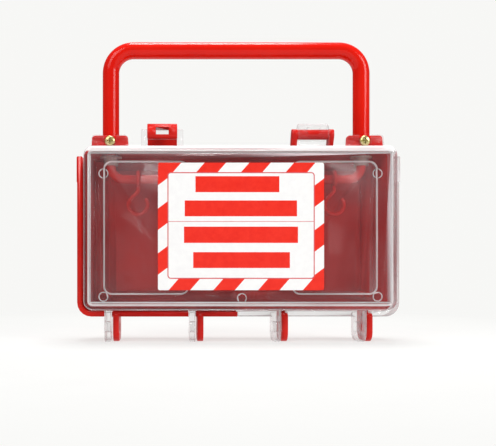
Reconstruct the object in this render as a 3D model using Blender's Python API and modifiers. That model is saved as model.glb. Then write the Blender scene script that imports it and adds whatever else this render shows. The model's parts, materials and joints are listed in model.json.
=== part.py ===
"""Portable group lockout box with a swing-up cover, modelled as separate parts.

The box is two identical moulded shells. One is clear and is the front cover, the other is
red and is the base behind it, turned half a turn about Z. Each has a padlock ear of every
pair, half of the overlapping lip, one hinge bar and one hinge hook. A tubular handle is
screwed to the base, and a key rail with hooks hangs inside between the handle's feet.

Metres, +X to the right, +Y to the rear, +Z up. The origin is on the floor below the middle,
and the shells meet on the plane y = 0.
"""

import math

import bmesh
import bpy
from mathutils import Matrix, Vector

MM = 0.001  # the dimensions below are in millimetres
GAP = 0.3  # between pieces that touch
CLEARANCE = 0.5  # between pieces that slide past each other

# Shells: the rim is at the parting plane, the face is the flat outside wall.
RIM_HALF_WIDTH = 116.0
RIM_BOTTOM = 22.5
RIM_TOP = 144.9
FACE_HALF_WIDTH = 113.1
FACE_BOTTOM = 24.6
FACE_TOP = 142.9
SHELL_DEPTH = 28.0
WALL = 2.8
RIM_ALLOWANCE = 1.0  # moulded past the parting plane, then trimmed flat
CORNER_RADIUS = 6.5
EDGE_RADIUS = 3.6

# Low ribs and ejector marks on the inside of the face: one rib frame round the whole face
# and one round each panel, as (left, right, bottom, top, corner radius).
RIB_FRAMES = (
    (-109.5, 109.5, 29.1, 138.6, 0.0),
    (-99.1, -37.0, 35.4, 132.1, 6.0),
    (37.0, 99.1, 35.4, 132.1, 6.0),
)
RIB_WIDTH = 1.2
RIB_HEIGHT = 1.0
MARK_RADIUS = 3.6
MARK_HEIGHT = 0.6
MARK_CENTRES = ((-99.0, 123.0), (99.0, 123.0), (-99.0, 34.0), (99.0, 34.0), (1.0, 33.0))

# Lip: each shell has it down one side and along that half of the bottom.
LIP_THICKNESS = 3.5
LIP_REACH = 7.0
LIP_TOP = 137.9
LIP_PAD_BOTTOM = 119.0
LIP_PAD_PROUD = 0.5
LIP_END_RADIUS = 1.0
LIP_PAD_RISE = 0.2
LIP_PAD_SINK = 1.0  # how far the pad reaches into the band
LIP_WEB_INNER = -1.4  # the web's sides, from the rim's outside
LIP_WEB_OUTER = 2.1
LIP_WEB_START_Y = -6.1
LIP_WEB_END_Y = -0.45

# Padlock ears, in pairs with one of each shell.
EAR_PAIRS = (-93.75, -31.25, 31.25, 93.75)
EAR_OFFSET = 3.0
EAR_THICKNESS = 4.4
EAR_OWN_REACH = 18.0
EAR_FAR_REACH = 12.0
EAR_FAR_TOP = 21.1
EAR_RADIUS = 8.0
EAR_HOLE_Z = 10.5
EAR_HOLE_RADIUS = 4.25
EAR_FAR_RADIUS = 3.0
EAR_EDGE = 0.5
EAR_ROOT = 0.4  # how far the ear reaches above the bottom wall's outside
EAR_STEP_Y = -1.0  # behind this the ear stays below the other shell's lip
SLOT_LENGTH_ALLOWANCE = 2.0
SLOT_DEPTH = 6.0
SLOT_TOP_GAP = 0.2

# Snap hinge: a bar between two legs on one shell, a hook on the other.
HINGE_X = 56.6
HINGE_Z = 155.2
BAR_RADIUS = 3.8
BAR_END_RADIUS = 4.1
BAR_HALF_WIDTH = 15.75
BAR_LEG_THICKNESS = 4.1
BAR_LEG_FRONT_Y = -9.0
BAR_LEG_REAR_Y = -2.5
BAR_END_INSET = 1.0
HINGE_FOOT_SINK = 0.5  # how far the hinge's feet go into the top wall past its middle
HINGE_LEG_EDGE = 0.4
HOOK_EDGE = 0.3
HOOK_INNER_RADIUS = 4.5
HOOK_OUTER_RADIUS = 8.2
HOOK_HALF_WIDTH = 11.2
HOOK_WRAP_BELOW = 30.0
HOOK_WINDOW_WIDTH = 9.6
HOOK_WINDOW_LOW = 154.2
HOOK_WINDOW_HIGH = 159.8

# Handle tube.
HANDLE_X = 96.0
HANDLE_Y = 10.8
TUBE_RADIUS = 6.35
TUBE_WALL = 1.2
HANDLE_BAR_Z = 221.5
HANDLE_BEND = 17.4
HANDLE_END_Z = 143.5
HANDLE_HOLE_RADIUS = 7.2

# Tabs beside the handle's feet, notched round the screws.
TAB_X = 96.0
TAB_HALF_WIDTH = 14.0
TAB_TAPER = 0.5
TAB_TOP = 154.7
TAB_RADIUS = 2.5
TAB_INNER_Y = 0.4
TAB_OUTER_Y = 3.0
TAB_EDGE = 0.4
TAB_NOTCH_HALF_WIDTH = 4.75

# Screw joint through each foot of the handle.
SCREW_Z = 150.4
SCREW_RADIUS = 2.0
SCREW_SEAT = -0.1  # the head's flat, in front of the base's tab
SCREW_HEAD_RADIUS = 4.0
SCREW_HEAD_HEIGHT = 2.4
SCREW_HEAD_RIM = 0.7
SCREW_HEAD_DOME = ((0.0, 0.0), (2.2, 0.15), (3.6, 0.8))  # radius, and drop from the top
SCREW_TIP = 0.6
SCREW_END_Y = 24.2
RECESS_LENGTH = 4.4
RECESS_WIDTH = 1.0
RECESS_DEPTH = 1.4
CLAMP_HALF_WIDTH = 7.3
CLAMP_LOW = 147.1
CLAMP_HIGH = 153.7
CLAMP_DEPTH = 4.6
CLAMP_WEB = 1.2
SADDLE_DEPTH = 5.0
NUT_FLAT = 7.0
NUT_THICKNESS = 3.2
INSERT_LENGTH = 13.5

# Key rail and its hooks.
RAIL_RADIUS = 3.5
RAIL_Z = 122.7
RAIL_BEND = 10.0
RAIL_END_Z = 156.5
COLLAR_RADIUS = 5.6
COLLAR_FLANGE_RADIUS = 8.4
COLLAR_FLANGE_THICKNESS = 1.5
COLLAR_LENGTH = 7.0
COLLAR_TOP = 140.1
HOOK_SPACING = 50.1
HOOK_WIRE_RADIUS = 1.6
HOOK_EYE_RADIUS = 5.5
HOOK_RING_RADIUS = 7.4
HOOK_RING_DROP = 19.5
HOOK_EYE_SWEEP = (-130.0, -420.0)
HOOK_RING_SWEEP = (165.0, 400.0)
# Key hook's neck between its eye and its ring.
HOOK_NECK = ((0.0, 0.6, -8.0), (-0.3, 0.0, -9.5), (-2.6, 0.0, -11.9), (-5.2, 0.0, -14.4))

# Label on the outside of the cover.
LABEL_WIDTH = 119.2
LABEL_BOTTOM = 38.8
LABEL_TOP = 130.3
LABEL_THICKNESS = 0.3
LABEL_RADIUS = 1.5

ARC_STEP = math.radians(18.0)
ROUND_STEPS = 20
SHARP_ANGLE = math.radians(40.0)

# name: (colour, roughness, metallic, alpha)
FINISHES = {
    "clear_plastic": ((0.92, 0.90, 0.90), 0.12, 0.0, 0.3),
    "red_plastic": ((0.62, 0.030, 0.020), 0.30, 0.0, 1.0),
    "red_paint": ((0.66, 0.018, 0.008), 0.22, 0.0, 1.0),
    "zinc_yellow": ((0.72, 0.60, 0.24), 0.30, 1.0, 1.0),
    "bright_zinc": ((0.72, 0.73, 0.74), 0.30, 1.0, 1.0),
    "nylon": ((0.80, 0.76, 0.70), 0.50, 0.0, 1.0),
    "label_vinyl": ((0.93, 0.93, 0.91), 0.40, 0.0, 1.0),
}


def clear_scene():
    """Remove whatever the scene already holds."""
    for item in list(bpy.data.objects):
        bpy.data.objects.remove(item)


def new_collection(name):
    """Add an empty collection to the scene."""
    collection = bpy.data.collections.new(name)
    bpy.context.scene.collection.children.link(collection)
    return collection


def finish(name):
    """Principled material for one of the FINISHES."""
    material = bpy.data.materials.get(name)
    if material:
        return material
    colour, roughness, metallic, alpha = FINISHES[name]
    material = bpy.data.materials.new(name)
    material.use_nodes = True
    material.diffuse_color = (*colour, alpha)
    shader = material.node_tree.nodes["Principled BSDF"]
    shader.inputs["Base Color"].default_value = (*colour, 1.0)
    shader.inputs["Roughness"].default_value = roughness
    shader.inputs["Metallic"].default_value = metallic
    shader.inputs["Alpha"].default_value = alpha
    return material


def metres(point):
    """A point in millimetres as a vector in metres."""
    return Vector(point) * MM


def arc(centre, radius, first, last):
    """Points along an arc, from the first to the last angle in degrees."""
    turn = math.radians(last - first)
    steps = max(2, round(abs(turn) / ARC_STEP))
    angles = (math.radians(first) + turn * step / steps for step in range(steps + 1))
    return [
        (centre[0] + radius * math.cos(angle), centre[1] + radius * math.sin(angle))
        for angle in angles
    ]


def rounded(corners):
    """Closed outline through (u, v, radius) corners, with an arc at each radius."""
    outline = []
    for index, (u, v, radius) in enumerate(corners):
        corner = Vector((u, v))
        before = (Vector(corners[index - 1][:2]) - corner).normalized()
        after = (Vector(corners[(index + 1) % len(corners)][:2]) - corner).normalized()
        if not radius:
            outline.append(tuple(corner))
            continue
        half_angle = before.angle(after) / 2
        centre = corner + (before + after).normalized() * radius / math.sin(half_angle)
        spoke = corner + before * radius / math.tan(half_angle) - centre
        left_turn = before.x * after.y - before.y * after.x < 0
        sweep = math.degrees(math.pi - 2 * half_angle) * (1 if left_turn else -1)
        first = math.degrees(math.atan2(spoke.y, spoke.x))
        outline.extend(arc(centre, radius, first, first + sweep))
    return outline


def tangent_angle(point, centre, radius, side):
    """Angle in degrees, seen from the centre, where the line from point touches the circle."""
    gap = Vector(centre) - Vector(point)
    direction = math.atan2(gap.y, gap.x) - side * math.asin(radius / gap.length)
    return math.degrees(direction) - side * 90.0


def mesh_object(name, mesh, finish_name=None):
    """Put a mesh in the parts collection, with its material."""
    thing = bpy.data.objects.new(name, mesh)
    parts.objects.link(thing)
    if finish_name:
        mesh.materials.append(finish(finish_name))
    return thing


def smooth(thing):
    """Shade smooth, and keep the sharp edges sharp."""
    thing.data.shade_smooth()
    thing.data.set_sharp_from_angle(angle=SHARP_ANGLE)
    return thing


def block(name, low, high):
    """Box between two corners."""
    form = bmesh.new()
    low = metres(low)
    high = metres(high)
    size = Matrix.Diagonal((*(high - low), 1.0))
    bmesh.ops.create_cube(form, size=1.0, matrix=Matrix.Translation((low + high) / 2) @ size)
    mesh = bpy.data.meshes.new(name)
    form.to_mesh(mesh)
    form.free()
    return mesh_object(name, mesh)


def cylinder(name, centre, radius, length, axis, sides=ROUND_STEPS, turn=0.0):
    """Cylinder about the X, Y or Z axis direction, centred on a point."""
    turns = {
        "X": Matrix.Rotation(math.pi / 2, 4, "Y"),
        "Y": Matrix.Rotation(math.pi / 2, 4, "X"),
        "Z": Matrix.Identity(4),
    }
    form = bmesh.new()
    bmesh.ops.create_cone(
        form,
        cap_ends=True,
        segments=sides,
        radius1=radius * MM,
        radius2=radius * MM,
        depth=length * MM,
        matrix=Matrix.Translation(metres(centre)) @ turns[axis] @ Matrix.Rotation(turn, 4, "Z"),
    )
    mesh = bpy.data.meshes.new(name)
    form.to_mesh(mesh)
    form.free()
    return mesh_object(name, mesh)


def as_mesh(curve_object, finish_name=None):
    """Replace a curve object by a welded mesh object in the same place."""
    name = curve_object.name
    place = curve_object.matrix_world.copy()
    evaluated = curve_object.evaluated_get(bpy.context.evaluated_depsgraph_get())
    mesh = bpy.data.meshes.new_from_object(evaluated)
    bpy.data.objects.remove(curve_object)
    weld = bmesh.new()
    weld.from_mesh(mesh)
    bmesh.ops.remove_doubles(weld, verts=weld.verts, dist=0.001 * MM)
    weld.to_mesh(mesh)
    weld.free()
    thing = mesh_object(name, mesh, finish_name)
    thing.matrix_world = place
    return thing


def prism(name, outline, axis, first, last, edge=0.0, finish_name=None):
    """Flat outline extruded from first to last along X (outline in Y, Z) or Y (in X, Z)."""
    curve = bpy.data.curves.new(name, "CURVE")
    curve.dimensions = "2D"
    curve.fill_mode = "BOTH"
    curve.extrude = abs(last - first) / 2 * MM
    spline = curve.splines.new("POLY")
    spline.points.add(len(outline) - 1)
    for point, (u, v) in zip(spline.points, outline):
        point.co = (u * MM, v * MM, 0.0, 1.0)
    spline.use_cyclic_u = True
    thing = bpy.data.objects.new(name, curve)
    parts.objects.link(thing)
    middle = (first + last) / 2 * MM
    if axis == "X":
        rows = ((0, 0, 1, middle), (1, 0, 0, 0), (0, 1, 0, 0), (0, 0, 0, 1))
    else:
        rows = ((1, 0, 0, 0), (0, 0, -1, middle), (0, 1, 0, 0), (0, 0, 0, 1))
    thing.matrix_world = Matrix(rows)
    bpy.context.view_layer.update()
    thing = as_mesh(thing, finish_name)
    if edge:
        bevel = thing.modifiers.new("Rounded edges", "BEVEL")
        bevel.width = edge * MM
        bevel.segments = 1
        bevel.limit_method = "ANGLE"
        bevel.angle_limit = SHARP_ANGLE
    return thing


def turned(name, profile, finish_name, steps=ROUND_STEPS):
    """Profile of (radius, height) points, running down its outer side, turned about Z."""
    form = bmesh.new()
    points = [form.verts.new(metres((radius, 0.0, height))) for radius, height in profile]
    for start, end in zip(points, points[1:]):
        form.edges.new((start, end))
    if profile[0][0] > 0:
        form.edges.new((points[-1], points[0]))
    mesh = bpy.data.meshes.new(name)
    form.to_mesh(mesh)
    form.free()
    thing = mesh_object(name, mesh, finish_name)
    screw = thing.modifiers.new("Turn", "SCREW")
    screw.steps = steps
    screw.render_steps = steps
    screw.use_merge_vertices = True
    screw.merge_threshold = 0.001 * MM
    return thing


def wire(name, points, radius, resolution, caps=True):
    """Round bar or wire along a list of points."""
    curve = bpy.data.curves.new(name, "CURVE")
    curve.dimensions = "3D"
    curve.bevel_depth = radius * MM
    curve.bevel_resolution = resolution
    curve.use_fill_caps = caps
    spline = curve.splines.new("POLY")
    spline.points.add(len(points) - 1)
    for point, place in zip(spline.points, points):
        point.co = (*metres(place), 1.0)
    thing = bpy.data.objects.new(name, curve)
    parts.objects.link(thing)
    return thing


def combine(target, tool, operation):
    """Join a tool to the target, or cut it away, and move the tool to the cutters."""
    parts.objects.unlink(tool)
    cutters.objects.link(tool)
    tool.hide_render = True
    tool.display_type = "WIRE"
    tool.parent = target
    tool.matrix_parent_inverse = target.matrix_world.inverted()
    change = target.modifiers.new(tool.name, "BOOLEAN")
    change.operation = operation
    change.object = tool
    change.solver = "EXACT"


def tray(name, finish_name):
    """Open, drafted tray with rounded corners, thickened inwards."""
    form = bmesh.new()
    bmesh.ops.create_cube(form, size=2.0)
    for corner in form.verts:
        at_face = corner.co.y < 0
        half_width = FACE_HALF_WIDTH if at_face else RIM_HALF_WIDTH
        bottom = FACE_BOTTOM if at_face else RIM_BOTTOM
        top = FACE_TOP if at_face else RIM_TOP
        depth = SHELL_DEPTH if at_face else -RIM_ALLOWANCE
        height = bottom if corner.co.z < 0 else top
        corner.co = metres((math.copysign(half_width, corner.co.x), -depth, height))
    form.normal_update()
    opening = max(form.faces, key=lambda face: face.normal.y)
    bmesh.ops.delete(form, geom=[opening], context="FACES_ONLY")
    upright = [
        edge for edge in form.edges if abs(edge.verts[0].co.y - edge.verts[1].co.y) > MM
    ]
    round_off(form, upright, CORNER_RADIUS, 5)
    face = min(form.faces, key=lambda side: side.normal.y)
    round_off(form, list(face.edges), EDGE_RADIUS, 3)
    mesh = bpy.data.meshes.new(name)
    form.to_mesh(mesh)
    form.free()
    thing = mesh_object(name, mesh, finish_name)
    wall = thing.modifiers.new("Wall", "SOLIDIFY")
    wall.thickness = WALL * MM
    wall.offset = -1.0
    wall.use_even_offset = True
    trim = block(
        f"{name}_rim_trim",
        (-RIM_HALF_WIDTH - 5.0, -GAP / 2, RIM_BOTTOM - 5.0),
        (RIM_HALF_WIDTH + 5.0, RIM_ALLOWANCE + 2.0, RIM_TOP + 5.0),
    )
    combine(thing, trim, "DIFFERENCE")
    return thing


def round_off(form, edges, radius, segments):
    """Round the given edges of a bmesh."""
    bmesh.ops.bevel(
        form,
        geom=edges,
        offset=radius * MM,
        offset_type="OFFSET",
        segments=segments,
        profile=0.5,
        affect="EDGES",
    )
    form.normal_update()


def rib_frame(name, left, right, bottom, top, corner_radius):
    """Low rib round a panel of the face: a plate with its middle cut away."""
    inner_face = WALL - SHELL_DEPTH
    frame = []
    for label, width, start, end in (
        ("outer", 0.0, inner_face - 0.5, inner_face + RIB_HEIGHT),
        ("inner", RIB_WIDTH, inner_face - 1.0, inner_face + RIB_HEIGHT + 1.0),
    ):
        radius = max(corner_radius - width, 0.0)
        corners = [
            (left + width, bottom + width, radius),
            (right - width, bottom + width, radius),
            (right - width, top - width, radius),
            (left + width, top - width, radius),
        ]
        frame.append(prism(f"{name}_{label}", rounded(corners), "Y", start, end))
    combine(frame[0], frame[1], "DIFFERENCE")
    return frame[0]


def lip_band(name, inner, outer, first, last, start_x):
    """Band round the outside of the rim, down the right side and along half the bottom."""
    corners = [
        (start_x, RIM_BOTTOM - outer, 0.0),
        (RIM_HALF_WIDTH + outer, RIM_BOTTOM - outer, CORNER_RADIUS + outer),
        (RIM_HALF_WIDTH + outer, LIP_TOP, LIP_END_RADIUS),
        (RIM_HALF_WIDTH + inner, LIP_TOP, 0.0),
        (RIM_HALF_WIDTH + inner, RIM_BOTTOM - inner, CORNER_RADIUS + inner),
        (start_x, RIM_BOTTOM - inner, 0.0),
    ]
    return prism(name, rounded(corners), "Y", first, last)


def add_lip(shell, name):
    """Half lip: the overlapping band, the web that joins it to the wall, and its end pad."""
    reach = CLEARANCE + LIP_THICKNESS
    pad_inner = RIM_HALF_WIDTH + reach - LIP_PAD_SINK
    pad_outer = RIM_HALF_WIDTH + reach + LIP_PAD_PROUD
    pad_top = LIP_TOP + LIP_PAD_RISE
    pad_outline = rounded([
        (pad_inner, LIP_PAD_BOTTOM, 0.0),
        (pad_outer, LIP_PAD_BOTTOM, 0.0),
        (pad_outer, pad_top, LIP_END_RADIUS),
        (pad_inner, pad_top, 0.0),
    ])
    for piece in (
        lip_band(f"{name}_lip_band", CLEARANCE, reach, -LIP_REACH, LIP_REACH, CLEARANCE),
        lip_band(
            f"{name}_lip_web",
            LIP_WEB_INNER,
            LIP_WEB_OUTER,
            LIP_WEB_START_Y,
            LIP_WEB_END_Y,
            CLEARANCE + GAP,
        ),
        prism(
            f"{name}_lip_pad",
            pad_outline,
            "Y",
            -LIP_REACH - LIP_PAD_PROUD,
            LIP_REACH - LIP_PAD_SINK,
        ),
    ):
        combine(shell, piece, "UNION")


def add_ears(shell, name):
    """This shell's padlock ear of each pair, after the slots for the other shell's ears."""
    outline = rounded([
        (-EAR_OWN_REACH, 0.0, EAR_RADIUS),
        (EAR_FAR_REACH, 0.0, EAR_RADIUS),
        (EAR_FAR_REACH, EAR_FAR_TOP, EAR_FAR_RADIUS),
        (EAR_STEP_Y, EAR_FAR_TOP, 0.0),
        (EAR_STEP_Y, FACE_BOTTOM + EAR_ROOT, 0.0),
        (-EAR_OWN_REACH, FACE_BOTTOM + EAR_ROOT, 0.0),
    ])
    half = EAR_THICKNESS / 2
    slot_reach = LIP_REACH + SLOT_LENGTH_ALLOWANCE
    for number, pair in enumerate(EAR_PAIRS, 1):
        if pair > 0:
            other = pair + EAR_OFFSET
            slot = block(
                f"{name}_ear_slot_{number}",
                (other - half - CLEARANCE, -slot_reach, RIM_BOTTOM - SLOT_DEPTH),
                (other + half + CLEARANCE, slot_reach, RIM_BOTTOM - SLOT_TOP_GAP),
            )
            combine(shell, slot, "DIFFERENCE")
    for number, pair in enumerate(EAR_PAIRS, 1):
        own = pair - EAR_OFFSET
        ear = prism(f"{name}_ear_{number}", outline, "X", own - half, own + half, EAR_EDGE)
        combine(shell, ear, "UNION")
        hole = cylinder(
            f"{name}_ear_hole_{number}", (own, 0.0, EAR_HOLE_Z), EAR_HOLE_RADIUS, 8.0, "X", 24
        )
        combine(shell, hole, "DIFFERENCE")


def add_hinge_bar(shell, name):
    """Round bar between two legs that stand on the top wall and lean to the hinge axis."""
    axis = (0.0, HINGE_Z)
    foot = RIM_TOP - WALL / 2 - HINGE_FOOT_SINK
    front = (BAR_LEG_FRONT_Y, foot)
    rear = (BAR_LEG_REAR_Y, foot)
    rear_angle = tangent_angle(rear, axis, BAR_END_RADIUS, 1)
    front_angle = tangent_angle(front, axis, BAR_END_RADIUS, -1)
    outline = [front, rear, *arc(axis, BAR_END_RADIUS, rear_angle, front_angle)]
    leg_middle = BAR_HALF_WIDTH - BAR_LEG_THICKNESS / 2
    for label, middle in (("left", -HINGE_X - leg_middle), ("right", -HINGE_X + leg_middle)):
        low = middle - BAR_LEG_THICKNESS / 2
        high = middle + BAR_LEG_THICKNESS / 2
        leg = prism(f"{name}_bar_leg_{label}", outline, "X", low, high, HINGE_LEG_EDGE)
        combine(shell, leg, "UNION")
    length = 2 * (BAR_HALF_WIDTH - BAR_END_INSET)
    bar = cylinder(f"{name}_bar", (-HINGE_X, 0.0, HINGE_Z), BAR_RADIUS, length, "X")
    combine(shell, bar, "UNION")


def add_hinge_hook(shell, name):
    """Hook that rises from the top wall and wraps over the other shell's bar."""
    axis = (0.0, HINGE_Z)
    foot = RIM_TOP - WALL / 2 - HINGE_FOOT_SINK
    outline = [
        (-HOOK_INNER_RADIUS, foot),
        *arc(axis, HOOK_INNER_RADIUS, 180.0, -HOOK_WRAP_BELOW),
        *arc(axis, HOOK_OUTER_RADIUS, -HOOK_WRAP_BELOW, 180.0),
        (-HOOK_OUTER_RADIUS, foot),
    ]
    low = HINGE_X - HOOK_HALF_WIDTH
    high = HINGE_X + HOOK_HALF_WIDTH
    hook = prism(f"{name}_hook", outline, "X", low, high, HOOK_EDGE)
    half_window = HOOK_WINDOW_WIDTH / 2
    window_reach = HOOK_OUTER_RADIUS + 0.8
    window = block(
        f"{name}_hook_window",
        (HINGE_X - half_window, -window_reach, HOOK_WINDOW_LOW),
        (HINGE_X + half_window, window_reach, HOOK_WINDOW_HIGH),
    )
    combine(hook, window, "DIFFERENCE")
    combine(shell, hook, "UNION")


def add_tab(shell, name, side, holds_handle):
    """Tab beside the parting plane at a foot of the handle.

    The base's tab is drilled for the screw and its top wall is bored for the handle's foot.
    The cover's tab is notched round the screw's head.
    """
    middle = side * TAB_X
    label = "left" if side < 0 else "right"
    foot = RIM_TOP - WALL / 2
    outline = rounded([
        (middle - TAB_HALF_WIDTH, foot, 0.0),
        (middle + TAB_HALF_WIDTH, foot, 0.0),
        (middle + TAB_HALF_WIDTH - TAB_TAPER, TAB_TOP, TAB_RADIUS),
        (middle - TAB_HALF_WIDTH + TAB_TAPER, TAB_TOP, TAB_RADIUS),
    ])
    tab = prism(f"{name}_tab_{label}", outline, "Y", -TAB_OUTER_Y, -TAB_INNER_Y, TAB_EDGE)
    combine(shell, tab, "UNION")
    screw_x = side * HANDLE_X
    tab_middle = -(TAB_OUTER_Y + TAB_INNER_Y) / 2
    through = TAB_OUTER_Y - TAB_INNER_Y + 2.0
    if holds_handle:
        cuts = [
            cylinder(
                f"{name}_screw_hole_{label}",
                (screw_x, tab_middle, SCREW_Z),
                SCREW_RADIUS + GAP,
                through,
                "Y",
                16,
            ),
            cylinder(
                f"{name}_foot_hole_{label}",
                (screw_x, -HANDLE_Y, RIM_TOP),
                HANDLE_HOLE_RADIUS,
                12.0,
                "Z",
                28,
            ),
        ]
    else:
        cuts = [
            block(
                f"{name}_tab_notch_{label}",
                (screw_x - TAB_NOTCH_HALF_WIDTH, tab_middle - through / 2, SCREW_Z),
                (screw_x + TAB_NOTCH_HALF_WIDTH, tab_middle + through / 2, TAB_TOP + 2.0),
            ),
            cylinder(
                f"{name}_tab_seat_{label}",
                (screw_x, tab_middle, SCREW_Z),
                TAB_NOTCH_HALF_WIDTH,
                through,
                "Y",
                24,
            ),
        ]
    for cut in cuts:
        combine(shell, cut, "DIFFERENCE")


def make_shell(name, finish_name, holds_handle):
    """One moulded shell in the cover's place: face to the front, rim on the parting plane."""
    shell = tray(name, finish_name)
    for number, edges in enumerate(RIB_FRAMES, 1):
        combine(shell, rib_frame(f"{name}_rib_{number}", *edges), "UNION")
    mark_length = MARK_HEIGHT + 0.5
    mark_y = WALL - SHELL_DEPTH + MARK_HEIGHT - mark_length / 2
    for number, (x, z) in enumerate(MARK_CENTRES, 1):
        mark = cylinder(f"{name}_mark_{number}", (x, mark_y, z), MARK_RADIUS, mark_length, "Y", 16)
        combine(shell, mark, "UNION")
    add_lip(shell, name)
    add_ears(shell, name)
    add_hinge_bar(shell, name)
    add_hinge_hook(shell, name)
    for side in (-1, 1):
        add_tab(shell, name, side, holds_handle)
    return shell


def make_handle():
    """U-shaped tube, open at its feet and drilled across for the screws."""
    top = HANDLE_BAR_Z - HANDLE_BEND
    inner = HANDLE_X - HANDLE_BEND
    route = [(-HANDLE_X, HANDLE_Y, HANDLE_END_Z)]
    route += [(x, HANDLE_Y, z) for x, z in arc((-inner, top), HANDLE_BEND, 180.0, 90.0)]
    route += [(x, HANDLE_Y, z) for x, z in arc((inner, top), HANDLE_BEND, 90.0, 0.0)]
    route += [(HANDLE_X, HANDLE_Y, HANDLE_END_Z)]
    handle = as_mesh(wire("handle_tube", route, TUBE_RADIUS, 7, caps=False), "red_paint")
    wall = handle.modifiers.new("Wall", "SOLIDIFY")
    wall.thickness = TUBE_WALL * MM
    wall.offset = -1.0
    wall.use_even_offset = True
    for side, x in (("left", -HANDLE_X), ("right", HANDLE_X)):
        drill = cylinder(
            f"handle_drill_{side}", (x, HANDLE_Y, SCREW_Z), SCREW_RADIUS + GAP, 16.0, "Y", 16
        )
        combine(handle, drill, "DIFFERENCE")
    return smooth(handle)


def make_rail():
    """Key rail whose turned-up ends go into the handle's feet."""
    inner = HANDLE_X - RAIL_BEND
    height = RAIL_Z + RAIL_BEND
    route = [(-HANDLE_X, HANDLE_Y, RAIL_END_Z)]
    route += [(x, HANDLE_Y, z) for x, z in arc((-inner, height), RAIL_BEND, 180.0, 270.0)]
    route += [(x, HANDLE_Y, z) for x, z in arc((inner, height), RAIL_BEND, 270.0, 360.0)]
    route += [(HANDLE_X, HANDLE_Y, RAIL_END_Z)]
    rail = as_mesh(wire("key_rail", route, RAIL_RADIUS, 4), "red_paint")
    for side, x in (("left", -HANDLE_X), ("right", HANDLE_X)):
        drill = cylinder(
            f"rail_drill_{side}", (x, HANDLE_Y, SCREW_Z), SCREW_RADIUS + GAP, 12.0, "Y", 16
        )
        combine(rail, drill, "DIFFERENCE")
    return smooth(rail)


def key_hook_route():
    """Wire of a key hook: an eye round the rail, a neck, and an open ring below it."""
    eye = [(0.0, y, z) for y, z in arc((0.0, 0.0), HOOK_EYE_RADIUS, *HOOK_EYE_SWEEP)]
    ring = [
        (x, 0.0, z) for x, z in arc((0.0, -HOOK_RING_DROP), HOOK_RING_RADIUS, *HOOK_RING_SWEEP)
    ]
    return [*eye, *HOOK_NECK, *ring]


def make_key_hooks():
    """Four alike key hooks, each with its origin on the rail's axis."""
    first = wire("key_hook_1", key_hook_route(), HOOK_WIRE_RADIUS, 2)
    first.data.materials.append(finish("red_paint"))
    hooks = [first]
    for number in (2, 3, 4):
        copy = bpy.data.objects.new(f"key_hook_{number}", first.data)
        parts.objects.link(copy)
        hooks.append(copy)
    for number, hook in enumerate(hooks):
        hook.location = metres(((number - 1.5) * HOOK_SPACING, HANDLE_Y, RAIL_Z))
    return hooks


def screw_profile():
    """Pan head and shank, from the top of the head down to the end of the shank."""
    head_top = SCREW_SEAT + SCREW_HEAD_HEIGHT
    return [
        *((radius, head_top - drop) for radius, drop in SCREW_HEAD_DOME),
        (SCREW_HEAD_RADIUS, SCREW_SEAT + SCREW_HEAD_RIM),
        (SCREW_HEAD_RADIUS, SCREW_SEAT),
        (SCREW_RADIUS, SCREW_SEAT),
        (SCREW_RADIUS, SCREW_TIP - SCREW_END_Y),
        (SCREW_RADIUS - SCREW_TIP, -SCREW_END_Y),
        (0.0, -SCREW_END_Y),
    ]


def make_foot(side):
    """Screw, saddle, saddle washer and nut that hold one foot of the handle to the base."""
    label = "left" if side < 0 else "right"
    x = side * HANDLE_X
    screw = smooth(turned(f"handle_screw_{label}", screw_profile(), "zinc_yellow"))
    screw.matrix_world = Matrix.Translation(metres((x, 0.0, SCREW_Z))) @ Matrix.Rotation(
        math.pi / 2, 4, "X"
    )
    recess_y = -(SCREW_SEAT + SCREW_HEAD_HEIGHT)
    bpy.context.view_layer.update()
    for name, half_x, half_z in (
        ("level", RECESS_LENGTH / 2, RECESS_WIDTH / 2),
        ("upright", RECESS_WIDTH / 2, RECESS_LENGTH / 2),
    ):
        recess = block(
            f"recess_{name}_{label}",
            (x - half_x, recess_y - 1.0, SCREW_Z - half_z),
            (x + half_x, recess_y + RECESS_DEPTH, SCREW_Z + half_z),
        )
        combine(screw, recess, "DIFFERENCE")
    saddle_y = TAB_OUTER_Y + GAP
    clamp_y = HANDLE_Y + TUBE_RADIUS + GAP + CLAMP_WEB
    for name, first, last, finish_name in (
        ("handle_saddle", saddle_y, saddle_y + SADDLE_DEPTH, "nylon"),
        ("clamp_plate", clamp_y - CLAMP_DEPTH, clamp_y, "bright_zinc"),
    ):
        piece = block(
            f"{name}_{label}",
            (x - CLAMP_HALF_WIDTH, first, CLAMP_LOW),
            (x + CLAMP_HALF_WIDTH, last, CLAMP_HIGH),
        )
        piece.data.materials.append(finish(finish_name))
        hollow = cylinder(
            f"{name}_hollow_{label}", (x, HANDLE_Y, SCREW_Z), TUBE_RADIUS + GAP, 20.0, "Z", 32
        )
        drill = cylinder(
            f"{name}_drill_{label}", (x, HANDLE_Y, SCREW_Z), SCREW_RADIUS + GAP, 30.0, "Y", 16
        )
        for cut in (hollow, drill):
            combine(piece, cut, "DIFFERENCE")
    nut_y = clamp_y + GAP + NUT_THICKNESS / 2
    nut = cylinder(
        f"handle_nut_{label}",
        (x, nut_y, SCREW_Z),
        NUT_FLAT / 2 / math.cos(math.pi / 6),
        NUT_THICKNESS,
        "Y",
        6,
        turn=math.pi / 6,
    )
    nut.data.materials.append(finish("zinc_yellow"))
    bore = cylinder(f"nut_bore_{label}", (x, nut_y, SCREW_Z), SCREW_RADIUS + GAP, 8.0, "Y", 16)
    combine(nut, bore, "DIFFERENCE")


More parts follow.
